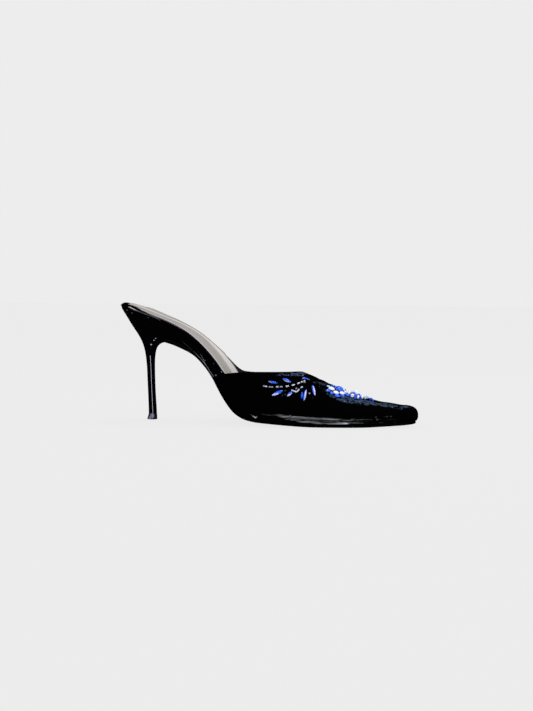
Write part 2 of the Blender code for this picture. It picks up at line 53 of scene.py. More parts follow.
class Finish:
    """A node material under construction: one Principled shader and what feeds it."""

    def __init__(self, name):
        self.material = bpy.data.materials.new(name)
        self.material.use_nodes = True
        self.tree = self.material.node_tree
        self.shader = self.tree.nodes["Principled BSDF"]
        self.place = self.node("ShaderNodeTexCoord").outputs["Object"]

    def node(self, kind, **settings):
        made = self.tree.nodes.new(kind)
        for key, value in settings.items():
            setattr(made, key, value)
        return made

    def link(self, source, target):
        self.tree.links.new(source, target)

    def feed(self, socket, value):
        """Sets a socket to a number or colour, or links it to another node's output."""
        if isinstance(value, bpy.types.NodeSocket):
            self.link(value, socket)
        elif isinstance(value, tuple):
            socket.default_value = (*value, 1.0)
        else:
            socket.default_value = value

    def surface(self, **values):
        """Sets or links the shader's own sockets, by name."""
        for name, value in values.items():
            self.feed(self.shader.inputs[name.replace("_", " ")], value)

    def stretched(self, scale, turn=(0, 0, 0)):
        """The place on the shoe, scaled and turned, so that a pattern runs one way."""
        mapping = self.node("ShaderNodeMapping")
        self.link(self.place, mapping.inputs["Vector"])
        mapping.inputs["Scale"].default_value = scale
        mapping.inputs["Rotation"].default_value = turn
        return mapping.outputs["Vector"]

    def noise(self, scale, detail=4.0, roughness=0.55, distortion=0.0, vector=None):
        made = self.node("ShaderNodeTexNoise")
        self.link(vector or self.place, made.inputs["Vector"])
        made.inputs["Scale"].default_value = scale
        made.inputs["Detail"].default_value = detail
        made.inputs["Roughness"].default_value = roughness
        made.inputs["Distortion"].default_value = distortion
        return made.outputs["Fac"]

    def cells(self, scale):
        """A pattern of small rounded cells, as in a leather's grain."""
        made = self.node("ShaderNodeTexVoronoi")
        self.link(self.place, made.inputs["Vector"])
        made.inputs["Scale"].default_value = scale
        return made.outputs["Distance"]

    def spot(self, station, y, z, radius, soft=0.6):
        """1 near a place on the shoe, given in millimetres, and 0 beyond a radius."""
        gap = self.node("ShaderNodeVectorMath", operation="DISTANCE")
        self.link(self.place, gap.inputs[0])
        gap.inputs[1].default_value = (SEAT_BACK + station * MM, y * MM, z * MM)
        return self.spread(gap.outputs["Value"], radius * MM, soft * radius * MM)

    def attribute(self, name):
        """What paint stored on the mesh under a name."""
        return self.node("ShaderNodeAttribute", attribute_name=name).outputs["Fac"]

    def spread(self, value, low, high, to_low=0.0, to_high=1.0):
        """Carries a value's range onto another range, smoothly at both ends."""
        made = self.node("ShaderNodeMapRange", interpolation_type="SMOOTHSTEP")
        self.feed(made.inputs["Value"], value)
        made.inputs["From Min"].default_value = low
        made.inputs["From Max"].default_value = high
        made.inputs["To Min"].default_value = to_low
        made.inputs["To Max"].default_value = to_high
        return made.outputs["Result"]

    def worked_out(self, operation, first, second):
        made = self.node("ShaderNodeMath", operation=operation)
        self.feed(made.inputs[0], first)
        self.feed(made.inputs[1], second)
        return made.outputs["Value"]

    def product(self, first, second):
        return self.worked_out("MULTIPLY", first, second)

    def total(self, first, second):
        return self.worked_out("ADD", first, second)

    def larger(self, first, second):
        return self.worked_out("MAXIMUM", first, second)

    def blend(self, share, first, second):
        """The first colour where the share is 0, the second where it is 1."""
        made = self.node("ShaderNodeMix", data_type="RGBA")
        self.feed(made.inputs["Factor"], share)
        self.feed(made.inputs["A"], first)
        self.feed(made.inputs["B"], second)
        return made.outputs["Result"]

    def marked(self, colour, marks, shade):
        """The colour with small marks in another shade; a mark is a spot and how strong it is."""
        for *spot, share in marks:
            colour = self.blend(self.product(self.spot(*spot), share), colour, shade)
        return colour

    def bump(self, height, depth, strength, under=None):
        """A surface relief of some depth, laid over another one if given."""
        made = self.node("ShaderNodeBump")
        made.inputs["Strength"].default_value = strength
        made.inputs["Distance"].default_value = depth
        self.link(height, made.inputs["Height"])
        if under:
            self.link(under, made.inputs["Normal"])
        return made.outputs["Normal"]


# Pale specks of painted sheen and highlight on the velvet: station, y, z, radius and how pale
PAINTED_SHEEN_SPECKS = (
    (174.3, -30.2, 28.9, 0.9, 0.25), (177.3, -32.1, 25.9, 0.8, 0.08), (186.8, -30.9, 23.9, 0.8, 0.03),
    (154.3, -33.0, 31.1, 0.8, 0.08), (154.7, -35.1, 28.0, 0.8, 0.08), (152.3, -35.7, 27.2, 0.7, 0.07),
    (125.6, -32.6, 9.8, 0.6, 0.12), (127.2, -33.1, 8.8, 0.8, 0.5), (128.4, -33.5, 8.2, 0.8, 0.7),
    (129.4, -33.8, 7.8, 0.8, 0.8), (130.5, -34.3, 8.6, 0.7, 0.3), (203.0, -30.8, 4.7, 0.8, 0.5),
    (204.2, -30.4, 4.75, 0.85, 0.9), (205.5, -29.9, 4.8, 0.85, 1.0), (206.6, -29.5, 4.85, 0.7, 0.5),
    (196.0, -33.2, 11.2, 0.9, 0.05), (237.6, -17.2, 10.2, 0.9, 0.04), (240.4, -15.8, 10.3, 0.8, 0.06),
    (228.6, -21.2, 9.9, 1.0, 0.05), (229.4, -20.6, 7.9, 0.9, 0.1),
)
# Small painted highlights, glints on dents in the patent leather: station, y, z, radius and how pale
PAINTED_GLINTS = (
    (11.7, -19.1, 95.9, 0.9, 0.22),
    (17.1, -21.7, 93.4, 0.7, 0.18),
    (36.5, -15.5, 71.6, 0.75, 0.8),
    (33.9, -12.7, 69.7, 0.9, 1.0),
    (30.0, -8.1, 65.7, 0.95, 1.4),
    (29.3, -5.9, 63.0, 0.6, 0.03),
    (32.7, -24.8, 89.8, 0.6, 0.1),
    (77.7, -20.0, 58.9, 0.5, 0.12),
    (78.6, -19.9, 57.6, 0.55, 0.2),
    (79.4, -19.9, 56.1, 0.55, 0.24),
    (80.2, -19.9, 54.6, 0.6, 0.3),
    (80.8, -19.9, 53.1, 0.6, 0.34),
    (81.7, -19.8, 54.0, 0.55, 0.2),
    (89.5, -20.2, 51.2, 0.6, 0.1),
    (91.4, -20.4, 41.4, 0.8, 0.3),
)


def velvet():
    """Black velvet with a painted blue-grey sheen, and a painted grey reflection of the floor where
    it turns under.
    """
    finish = Finish("black_velvet")
    # Painted sheen: blue-grey light on the velvet, in its painted bands, mottled
    sheen_mottle = finish.noise(480, 6, 0.72, 0.6, finish.stretched((0.6, 1.0, 1.2), (0, radians(-20), 0)))
    painted_sheen = finish.total(finish.product(finish.attribute("painted_sheen"), 0.8), finish.spread(sheen_mottle, 0.36, 0.64))
    sheen_tint = finish.blend(finish.spread(finish.noise(1000, 6, 0.75), 0.38, 0.62),
                        (0.016, 0.028, 0.06), (0.1, 0.145, 0.26))
    colour = finish.blend(finish.spread(painted_sheen, 1.08, 1.42), (0.0003, 0.0003, 0.0005), sheen_tint)
    # Painted reflection of the floor: grey streaks low on the wall where it turns under
    lines = finish.noise(360, 7, 0.78, 0.3, finish.stretched((0.14, 1.0, 3.2), (0, radians(2), 0)))
    wear_and_painted_light = finish.total(finish.attribute("painted_floor_reflection"), finish.spread(lines, 0.36, 0.64, 0.0, 0.6))
    colour = finish.blend(finish.spread(wear_and_painted_light, 0.6, 1.6), colour, (0.25, 0.265, 0.275))
    # Painted sheen and highlight specks, pale
    colour = finish.marked(colour, PAINTED_SHEEN_SPECKS, (0.5, 0.53, 0.56))
    lie = finish.bump(finish.noise(140, 4, 0.6), 0.0006, 0.25)
    pile = finish.bump(finish.noise(2600, 3, 0.7), 0.00025, 0.5, lie)
    finish.surface(Base_Color=colour, Roughness=0.9, Normal=pile, IOR=1.3, Specular_IOR_Level=0.05)
    return finish.material


def patent():
    """Black patent leather with a faint ripple, a little dust and small painted highlights."""
    finish = Finish("black_patent")
    dust = finish.spread(finish.noise(900, 6, 0.75), 0.7, 0.85)
    colour = finish.blend(dust, (0.0006, 0.0006, 0.0009), (0.004, 0.004, 0.005))
    # Painted highlights: small glints on the patent
    colour = finish.marked(colour, PAINTED_GLINTS, (0.42, 0.5, 0.58))
    ripple = finish.bump(finish.noise(160, 3, 0.5), 0.0003, 0.1)
    finish.surface(Base_Color=colour, Roughness=finish.total(finish.product(dust, 0.1), 0.06),
                   Normal=ripple, IOR=1.5, Coat_Weight=0.6, Coat_Roughness=0.04)
    return finish.material


def highlight_line_finish(name, wear_and_painted_light):
    """A fine line in the black leather, as light as the highlight painted on it."""
    finish = Finish(name)
    wear_and_painted_highlight = finish.spread(finish.noise(300, 5, 0.7), 0.3, 0.6, 0.35, 1.0)
    shown = finish.product(wear_and_painted_highlight, finish.attribute("wear_and_painted_highlight"))
    # Painted highlight along the line
    colour = finish.blend(shown, (0.002, 0.002, 0.002), wear_and_painted_light)
    finish.surface(Base_Color=colour, Roughness=0.35, IOR=1.45)
    return finish.material


def tip_plastic():
    """Hard plastic with a painted reflection of the strip light, a paler patch, on its outer side."""
    finish = Finish("heel_tip_plastic")
    wear_and_painted_highlight = finish.noise(700, 6, 0.7)
    colour = finish.blend(finish.spread(wear_and_painted_highlight, 0.45, 0.7), (0.003, 0.003, 0.005), (0.012, 0.012, 0.016))
    # Painted reflection of the strip light: two paler patches
    high_reflection = finish.product(finish.spot(29.6, -4.2, 3.4, 2.8, 0.45),
                                finish.spread(wear_and_painted_highlight, 0.3, 0.7, 0.7, 1.0))
    low_reflection = finish.product(finish.spot(27.6, -3.8, 1.2, 2.0, 0.4), 0.9)
    for painted_reflection in (high_reflection, low_reflection):
        colour = finish.blend(painted_reflection, colour, (0.17, 0.185, 0.28))
    finish.surface(Base_Color=colour, Roughness=finish.spread(wear_and_painted_highlight, 0.3, 0.8, 0.16, 0.3),
                   Normal=finish.bump(wear_and_painted_highlight, 0.0002, 0.3))
    return finish.material


def lining():
    """Black lining leather inside the vamp."""
    finish = Finish("black_lining")
    colour = finish.blend(finish.noise(120, 4), (0.004, 0.004, 0.005), (0.012, 0.012, 0.013))
    grain = finish.bump(finish.cells(900), 0.0002, 0.4)
    finish.surface(Base_Color=colour, Roughness=0.6, Normal=grain)
    return finish.material


def sock_leather():
    """Taupe leather with lengthwise streaks, a paler band and cut edges, and a black edge: dull black
    edge paint on the board, painted shade along the sock's inner edge.
    """
    finish = Finish("taupe_sock_leather")
    streaks = finish.noise(230, 6, 0.65, 0.2, finish.stretched((0.1, 1.7, 0.1)))
    cloud = finish.noise(30, 4, 0.6, 0.0, finish.stretched((0.5, 1.0, 0.5)))
    black_edge_and_shade = finish.attribute("black_edge_and_shade")
    colour = finish.blend(finish.spread(cloud, 0.35, 0.7), (0.39, 0.365, 0.33), (0.455, 0.435, 0.415))
    for share, shade in (
        (finish.attribute("pale_band"), (0.76, 0.72, 0.705)),
        (finish.spread(streaks, 0.42, 0.3, 0.0, 0.6), (0.6, 0.55, 0.6)),
        (finish.spread(streaks, 0.58, 0.72, 0.0, 0.5), (0.64, 0.61, 0.6)),
        (finish.attribute("cut_edge"), (0.57, 0.53, 0.57)),
        # dull black edge paint on the board; painted shade along the sock's inner edge
        (black_edge_and_shade, (0.001, 0.001, 0.0013)),
    ):
        colour = finish.blend(share, colour, shade)
    roughness = finish.larger(finish.spread(streaks, 0.3, 0.8, 0.5, 0.65), black_edge_and_shade)
    pores = finish.bump(finish.noise(2200, 4, 0.6), 0.0001, 0.25)
    grain = finish.bump(finish.cells(1500), 0.00018, 0.3, pores)
    finish.surface(Base_Color=colour, Roughness=roughness, Normal=grain, IOR=1.4)
    return finish.material


def sole_leather():
    """Black sole leather, scuffed paler where it meets the ground."""
    finish = Finish("black_sole_leather")
    scuffs = finish.noise(170, 8, 0.75, 1.2, finish.stretched((0.35, 1.3, 1.0)))
    # Here only the real wear of the tread
    wear_and_painted_light = finish.product(finish.spread(scuffs, 0.5, 0.7), finish.attribute("tread_wear"))
    colour = finish.blend(wear_and_painted_light, (0.0012, 0.0012, 0.0013), (0.075, 0.066, 0.058))
    grain = finish.bump(finish.noise(1300, 5, 0.7), 0.00015, 0.35)
    finish.surface(Base_Color=colour, Roughness=finish.spread(scuffs, 0.3, 0.8, 0.45, 0.6),
                   Normal=grain, IOR=1.45, Specular_IOR_Level=0.06)
    return finish.material


def petal_glass():
    """Bright blue glass, with a painted highlight in pale lavender on one side and painted shade in
    deep blue at the far rim.
    """
    finish = Finish("blue_petal_glass")
    swirl = finish.spread(finish.noise(1100, 4, 0.7), 0.3, 0.7, -0.22, 0.22)
    across = finish.total(finish.attribute("pale"), swirl)
    # Painted highlight on the pale side, painted shade at the far rim
    pale = finish.product(finish.spread(across, 0.44, 0.66), finish.spread(across, 1.02, 0.84))
    deep = finish.spread(across, 0.05, -0.3)
    colour = finish.blend(finish.spread(across, 0.6, 1.0), (0.025, 0.14, 0.95), (0.11, 0.13, 0.9))
    colour = finish.blend(pale, colour, (0.74, 0.72, 0.98))
    colour = finish.blend(deep, colour, (0.004, 0.03, 0.45))
    finish.surface(Base_Color=colour, Roughness=0.14, IOR=1.5, Coat_Weight=0.4, Coat_Roughness=0.04)
    return finish.material


def plain_glass(name, deep, light, swirl=700, painted_glow=0.0):
    """Glass that swirls between two colours; some is given a painted glow, a little light of its own.
    """
    finish = Finish(name)
    share = finish.spread(finish.noise(swirl, 3, 0.6), 0.35, 0.65)
    colour = finish.blend(share, deep, light)
    finish.surface(Base_Color=colour, Roughness=0.14, IOR=1.5, Coat_Weight=0.5, Coat_Roughness=0.04,
                   Emission_Color=colour, Emission_Strength=painted_glow)
    return finish.material


PETAL_GLASS = petal_glass()
# Most of the beads have a painted glow
BEAD_GLASS = {
    "blue": plain_glass("blue_glass", (0.006, 0.04, 0.7), (0.05, 0.22, 1.0), painted_glow=0.2),
    "stone": plain_glass("blue_stone_glass", (0.001, 0.002, 0.5), (0.05, 0.22, 1.0), 260, 0.15),
    "white": plain_glass("white_glass", (0.86, 0.89, 1.0), (1.0, 1.0, 1.0), painted_glow=0.18),
    "pale": plain_glass("pale_blue_glass", (0.35, 0.6, 1.0), (0.72, 0.9, 1.0), painted_glow=0.06),
    "cloudy": plain_glass("cloudy_glass", (0.8, 1.0, 1.0), (1.0, 1.0, 1.0), painted_glow=0.15),
    "silver": plain_glass("silver_lined_glass", (0.5, 0.53, 0.62), (0.9, 0.92, 1.0), 1500),
    "grey": plain_glass("grey_lined_glass", (0.2, 0.22, 0.25), (0.45, 0.47, 0.6), 1500),
    "lilac": plain_glass("lilac_glass", (0.4, 0.42, 0.95), (0.85, 0.85, 1.0), 1500),
    "tan": plain_glass("tan_bead_glass", (0.12, 0.1, 0.08), (0.4, 0.36, 0.3), 1500),
}


# ---------------------------------------------------------------- mesh helpers

SMOOTH_LEVELS = 2


def as_mesh(bm, name):
    mesh = bpy.data.meshes.new(name)
    bm.to_mesh(mesh)
    bm.free()
    return mesh


def add_piece(name, bm, materials, replaces=()):
    """A finished piece of the shoe: smooth shaded, riding on its one body."""
    mesh = as_mesh(bm, name)
    for material in materials:
        mesh.materials.append(material)
    mesh.shade_smooth()
    piece = bpy.data.objects.new(name, mesh)
    bpy.context.scene.collection.objects.link(piece)
    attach(piece, "root")
    if replaces:
        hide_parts(*replaces)


def solid_copy(node):
    """A copy of a solid with its loose triangles merged and paired into quads."""
    bm = bmesh.new()
    bm.from_mesh(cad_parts[node].data)
    bmesh.ops.remove_doubles(bm, verts=bm.verts, dist=1e-6)
    bmesh.ops.join_triangles(bm, faces=bm.faces, angle_face_threshold=radians(35),
                             angle_shape_threshold=pi, cmp_seam=False, cmp_sharp=False,
                             cmp_uvs=False, cmp_vcols=False, cmp_materials=False)
    return bm


def soften_edges(bm, width, angle=50):
    """Rounds the edges where a solid turns by more than an angle in degrees."""
    edges = [edge for edge in bm.edges
             if len(edge.link_faces) == 2 and edge.calc_face_angle() > radians(angle)]
    bmesh.ops.bevel(bm, geom=edges, offset=width, offset_type="OFFSET", segments=2,
                    profile=0.5, affect="EDGES", clamp_overlap=True, material=-1)


def subdivided(bm):
    """The mesh after Subdivision Surface."""
    mesh = as_mesh(bm, "coarse")
    coarse = bpy.data.objects.new("coarse", mesh)
    bpy.context.scene.collection.objects.link(coarse)
    step = coarse.modifiers.new("smooth", "SUBSURF")
    step.levels = SMOOTH_LEVELS
    step.render_levels = SMOOTH_LEVELS
    graph = bpy.context.evaluated_depsgraph_get()
    fine = bmesh.new()
    fine.from_object(coarse, graph)
    bpy.data.objects.remove(coarse)
    bpy.data.meshes.remove(mesh)
    return fine


def paint(bm, name, value):
    """Stores value(vertex) at each vertex for a material to read."""
    layer = bm.verts.layers.float.new(name)
    for vertex in bm.verts:
        vertex[layer] = value(vertex)


def station_of(point):
    """How far a place lies ahead of the back of the seat, in millimetres."""
    return (point.x - SEAT_BACK) / MM


def ease(value, start, end):
    """0 up to the start and 1 from the end on, with a smooth rise between."""
    t = min(max((value - start) / (end - start), 0.0), 1.0)
    return t * t * (3 - 2 * t)


def reader(places, values):
    """Reads a table of values between its places."""
    return lambda at: float(numpy.interp(at, places, values))


# ---------------------------------------------------------------- the vamp

# The vamp's ridge: station, how far it lies to the inner side, height
RIDGE = numpy.array(((132, 4.0, 58.0), (146, 4.5, 51.0), (162, 4.5, 44.2), (172, 4.2, 40.4),
                     (190, 3.6, 32.6), (206, 3.0, 27.4), (216, 2.6, 24.2), (226, 2.1, 21.4),
                     (240, 1.2, 19.6), (247.6, 0.4, 18.7), (260, 0.0, 18.0)))
# Where a blue-grey sheen is painted on the velvet, as distances down from the ridge: below the
# throat, in a streak on each side of the instep, and along under the flower to the toe
SHEEN_BANDS = tuple(numpy.array(rows) for rows in (
    # station, from, to, share
    ((141, 27, 30, 0.0), (145, 26.2, 29.8, 0.4), (151, 21.8, 25.8, 0.6), (156, 15.5, 22.6, 0.95),
     (160, 8, 19.4, 1.0), (163, 1, 13.8, 1.0), (165.5, 0, 6.5, 0.9), (168, 0, 3, 0.0)),
    ((171, 14, 18, 0.0), (174.5, 14, 18.4, 0.6), (177.5, 11.4, 17.4, 0.9), (181, 7, 14.5, 0.8),
     (184, 5, 13, 0.6), (187, 5, 12, 0.0)),
    ((176, 18, 22, 0.0), (180, 17, 22, 0.35), (184, 20, 26, 0.45), (187, 21, 27.5, 0.5),
     (190, 22.6, 28.4, 0.55), (194, 23.4, 28.8, 0.75), (197, 21, 29, 0.85), (202, 17.5, 28.6, 0.95),
     (206, 15.8, 26.6, 0.95), (210, 13.5, 24.8, 1.0), (214, 11, 22.4, 0.95), (218, 8.2, 19.8, 0.95),
     (222, 6.6, 17.4, 0.95), (226, 5.0, 15.1, 0.95), (233, 1.8, 13.2, 0.85), (237, 2.5, 12.0, 0.8),
     (242, 4.0, 10.8, 0.75), (248, 2.6, 9.4, 0.75), (251, 2, 6.6, 0.65), (255.5, 1.6, 4.4, 0.5),
     (259, 1, 3.6, 0.0)),
))
# Where the wall turns under to the sole and a grey reflection of the floor is painted, as heights
# over the floor: an upper and a lower line, a broader band between them and a few specks above
FLOOR_REFLECTION_BANDS = tuple(numpy.array(rows) for rows in (
    # station, from, to, share
    ((132, 10.5, 11.5, 0.0), (138, 10.3, 11.6, 0.5), (147, 10.0, 11.3, 0.6), (156, 9.8, 11.3, 0.9),
     (164, 9.5, 10.9, 0.95), (176, 9.1, 10.5, 0.9), (188, 8.4, 9.8, 0.95), (196, 7.9, 9.2, 0.8),
     (204, 7.5, 8.7, 0.65), (212, 7.4, 8.7, 0.7), (218, 7.1, 8.4, 0.45), (232, 7.2, 8.3, 0.3),
     (248, 7.0, 8.0, 0.25), (256, 7.0, 8.0, 0.0)),
    ((149, 9.2, 9.9, 0.0), (154, 8.2, 9.5, 0.6), (160, 7.1, 8.5, 0.65), (166, 6.0, 7.5, 0.75),
     (173, 5.3, 6.8, 0.9), (180, 4.7, 6.2, 0.95), (186, 4.4, 5.7, 0.65), (191, 4.1, 5.4, 0.95),
     (204, 4.2, 5.5, 1.2), (207, 4.3, 5.5, 0.7), (214, 4.4, 5.6, 0.5), (228, 4.4, 5.6, 0.25),
     (244, 4.2, 5.3, 0.2), (254, 4.4, 5.2, 0.0)),
    ((145, 9.6, 10.4, 0.0), (152, 9, 10.4, 0.3), (162, 7.6, 10, 0.35), (176, 5.6, 9.6, 0.4),
     (190, 5, 9, 0.4), (204, 5, 8.2, 0.4), (212, 5, 8, 0.3), (222, 5, 8, 0.15), (232, 5, 8, 0.0)),
    ((213, 9.6, 10.4, 0.0), (219, 9.4, 10.7, 0.2), (238, 9.4, 10.6, 0.25), (244, 9.8, 10.6, 0.0)),
))


def band_share(bands, station, place):
    """How far a place lies inside any of some bands that run along the shoe, 0 to 1."""
    best = 0.0
    for rows in bands:
        if rows[0, 0] < station < rows[-1, 0]:
            low, high, share = (float(numpy.interp(station, rows[:, 0], rows[:, i])) for i in (1, 2, 3))
            edge = 0.25 * (high - low)
            best = max(best, share * ease(place, low - edge, low + edge)
                       * (1 - ease(place, high - edge, high + edge)))
    return best


def sheen_share(vertex):
    """How strong the painted sheen is: in the bands of SHEEN_BANDS, and along the collar of the throat.
    """
    station = station_of(vertex.co)
    aside = float(numpy.interp(station, RIDGE[:, 0], RIDGE[:, 1])) - vertex.co.y / MM
    below = float(numpy.interp(station, RIDGE[:, 0], RIDGE[:, 2])) - vertex.co.z / MM
    at_throat = ease(station, 151, 155) * (1 - ease(station, 165, 168))
    collar = at_throat * ease(vertex.co.z / MM, 41.8, 43.0)
    return max(band_share(SHEEN_BANDS, station, (aside * aside + below * below) ** 0.5), 0.95 * collar)


# Soft troughs where the vamp bends over the toes: station on the ridge, depth and half width
CREASES = ((177.0, 0.3, 2.4), (185.5, 0.38, 2.6), (194.0, 0.26, 2.2))
CREASE_RUN = 9.0                # how far back a crease has run where it is low on a side
CREASE_LIP = (0.35, 1.6)        # the lip ahead of a trough: share of its depth, half widths away
CREASE_CORE = 12.0              # the height of the line that the creases sink towards
# The shallow hollow behind the toe: station, y, depth and half length
TOE_DIP = (226.5, 2.0, 0.9, 9.0)
VAMP_MIDDLE = 3.0               # how far the vamp's middle lies to the inner side
# The height of the middle of the foot's room: station and height
ROOM_HEIGHT = reader((80, 110, 160, 200, 260), (52, 26, 18, 13, 10))


def hump(off):
    """1 in the middle, falling smoothly to 0 one unit away."""
    return max(0.0, 1 - off * off) ** 2


def crease_depth(station, y, z):
    """How far a place on the vamp is sunk by its creases, which run back down both sides."""
    run = CREASE_RUN * ease(abs(y - VAMP_MIDDLE), 0, 30)
    lip_share, lip_off = CREASE_LIP
    depth = 0.0
    for middle, deep, half in CREASES:
        off = (station - middle + run) / half
        depth += deep * (hump(off) - lip_share * hump(off - lip_off))
    middle, aside, deep, half = TOE_DIP
    dip = deep * hump((station - middle) / half) * (1 - ease(abs(y - aside), 3, 13))
    return depth * ease(z, 9, 18) + dip


def make_vamp():
    """The velvet vamp with its lining; gives its surface for the beading to sit on."""
    bm = solid_copy("upper")
    soften_edges(bm, 0.35 * MM)
    bm = subdivided(bm)
    bmesh.ops.recalc_face_normals(bm, faces=bm.faces)
    for vertex in bm.verts:
        place = vertex.co
        core = Vector((place.x, VAMP_MIDDLE * MM, CREASE_CORE * MM))
        sink = crease_depth(station_of(place), place.y / MM, place.z / MM)
        vertex.co = place - sink * MM * (place - core).normalized()
    for face in bm.faces:
        middle = face.calc_center_median()
        room = Vector((middle.x, VAMP_MIDDLE * MM, ROOM_HEIGHT(station_of(middle)) * MM))
        inside = face.normal.dot((middle - room).normalized()) < -0.25
        # At the throat the velvet is turned in over the lining's edge
        turned_in = station_of(middle) > 150 and middle.z > 42 * MM
        face.material_index = 1 if inside and not turned_in else 0
    # Where a blue-grey sheen is painted
    paint(bm, "painted_sheen", sheen_share)
    # Where a grey reflection of the floor is painted
    paint(bm, "painted_floor_reflection", lambda v: band_share(FLOOR_REFLECTION_BANDS, station_of(v.co), v.co.z / MM))
    surface = BVHTree.FromBMesh(bm)
    add_piece("velvet_vamp", bm, (velvet(), lining()), ["upper"])
    return surface


# ---------------------------------------------------------------- seat, sock, sole and heel

PADDING = 1.0               # how much the padding raises the outer side of the seat's rim
LAP_SLOPE = (0.82, 0.9)     # where the turned-down lining ends, as the upward share of the edge


def edge_distance(bm, sign):
    """Reads how far a vertex lies inside the piece's outer (-1) or inner (1) edge, in mm."""
    reach = {}
    for vertex in bm.verts:
        place = 2 * round(station_of(vertex.co) / 2)
        reach[place] = max(reach.get(place, 0.0), sign * vertex.co.y / MM)
    edge = reader(*zip(*sorted(reach.items())))
    return lambda vertex: edge(station_of(vertex.co)) - sign * vertex.co.y / MM


def make_covered_insole(finish, lining_leather):
    """The covered board, padded a little higher along the outer side of the seat's rim. The lining
    laps over its rounded edge: past the inner rim at the seat, and down the waist's outer edge.
    Below that lap, and ahead of the seat, the outer edge is painted a dull black."""
    bm = subdivided(solid_copy("insole"))
    from_edge = edge_distance(bm, -1)
    for vertex in bm.verts:
        station = station_of(vertex.co)
        padded = ease(station, 6, 12) * (1 - ease(station, 20, 30))
        padded *= 1 - ease(from_edge(vertex), 2.5, 7)
        vertex.co.z += PADDING * MM * padded * ease(vertex.normal.z, 0.0, 0.5)
    for face in bm.faces:
        middle = face.calc_center_median()
        station = station_of(middle)
        inner_seat = middle.y > 5 * MM and 5 < station < 36 and face.normal.z > 0.3
        outer_waist = middle.y < -5 * MM and 18 < station < 92 and face.normal.z > 0.35
        face.material_index = 1 if inner_seat or outer_waist else 0
    surface = BVHTree.FromBMesh(bm)
    paint(bm, "pale_band", lambda v: 0.0)
    paint(bm, "cut_edge", lambda v: 1.0 if v.co.y < 0 else 0.0)

    def painted_black(vertex):
        if vertex.co.y > 0:
            return 0.0
        return max(1 - ease(station_of(vertex.co), 30, 33), 1 - ease(vertex.normal.z, *LAP_SLOPE))

    paint(bm, "black_edge_and_shade", painted_black)
    add_piece("covered_insole", bm, (finish, lining_leather), ["insole"])
    return surface


def make_sock(leather):
    """The sock: a paler band towards its inner side, a pale cut edge and painted shade along the
    inner edge."""
    bm = subdivided(solid_copy("sock"))
    band_middle = reader((0, 45, 60, 90, 105, 120), (8.0, 10.0, 10.5, 9.0, 7.5, 7.0))
    from_outer_edge = edge_distance(bm, -1)
    from_inner_edge = edge_distance(bm, 1)

    def pale_band(vertex):
        station = station_of(vertex.co)
        wide = 4.5 * ease(station, 72, 100)
        off = abs(vertex.co.y / MM - band_middle(station))
        return 0.85 * (1 - ease(off, 1.0 + wide, 4.2 + 1.6 * wide))

    def pale_edge(vertex):
        return max(1 - ease(vertex.normal.z, 0.2, 0.5), 1 - ease(from_outer_edge(vertex), 0.2, 2.2))

    # Painted shade along the inner edge of the sock
    def shaded_edge(vertex):
        station = station_of(vertex.co)
        share = 0.5 * ease(station, 34, 46) + 0.4 * ease(station, 78, 90)
        return share * (1 - ease(from_inner_edge(vertex), 1.0, 4.6))

    paint(bm, "pale_band", pale_band)
    paint(bm, "cut_edge", pale_edge)
    paint(bm, "black_edge_and_shade", shaded_edge)
    add_piece("sock_lining", bm, (leather,), ["sock"])


def make_sole():
    """The outsole, scuffed under the ball of the foot."""
    bm = subdivided(solid_copy("outsole"))

    def tread_wear(vertex):
        station = station_of(vertex.co)
        along = ease(station, 140, 175) * (1 - ease(station, 215, 240))
        return along * (1 - ease(vertex.co.z / MM, 0.2, 1.6))

    paint(bm, "tread_wear", tread_wear)
    add_piece("leather_sole", bm, (sole_leather(),), ["outsole"])


def swept(points, radius):
    """A closed round rod along a line of points, thinner towards its ends."""
    places = []
    for i, point in enumerate(points):
        ahead = (points[min(i + 1, len(points) - 1)] - points[max(i - 1, 0)]).normalized()
        aside = ahead.cross(Vector((0, 0, 1))).normalized()
        turn = Matrix((aside, ahead.cross(aside), ahead)).transposed().to_4x4()
        from_end = min(i, len(points) - 1 - i)
        size = radius * (0.35 + 0.65 * ease(from_end, 0, 4))
        places.append(Matrix.Translation(point) @ turn @ Matrix.Scale(size, 4))
    bm = bmesh.new()
    bmesh.ops.create_circle(bm, cap_ends=True, segments=8, radius=1.0, matrix=places[0])
    (cap,) = bm.faces
    for before, after in zip(places, places[1:]):
        made = bmesh.ops.extrude_face_region(bm, geom=[cap, *cap.edges])["geom"]
        (cap,) = (part for part in made if isinstance(part, bmesh.types.BMFace))
        bmesh.ops.transform(bm, matrix=after @ before.inverted(), verts=cap.verts[:])
    bmesh.ops.recalc_face_normals(bm, faces=bm.faces)
    return bm


# The sole's upper edge along the waist, and the seam round the seat: station and height
WAIST_EDGE = reader((49, 53, 57, 60.5, 64.8, 69.4, 73.9, 78.2, 81.3, 85.3, 89.8),
                    (74.3, 73.9, 72.9, 71.1, 67.4, 63.2, 59.2, 55.0, 51.6, 45.9, 39.3))
SEAT_SEAM = reader((14.2, 16.1, 19.4, 23.3, 29.7, 35.8, 41.8, 43.4),
                   (98.6, 98.1, 96.7, 95.2, 92.8, 90.9, 88.6, 86.6))
LINE_STEPS = 56
LINE_PROUD = 0.05           # how far a line's middle stands out of the leather


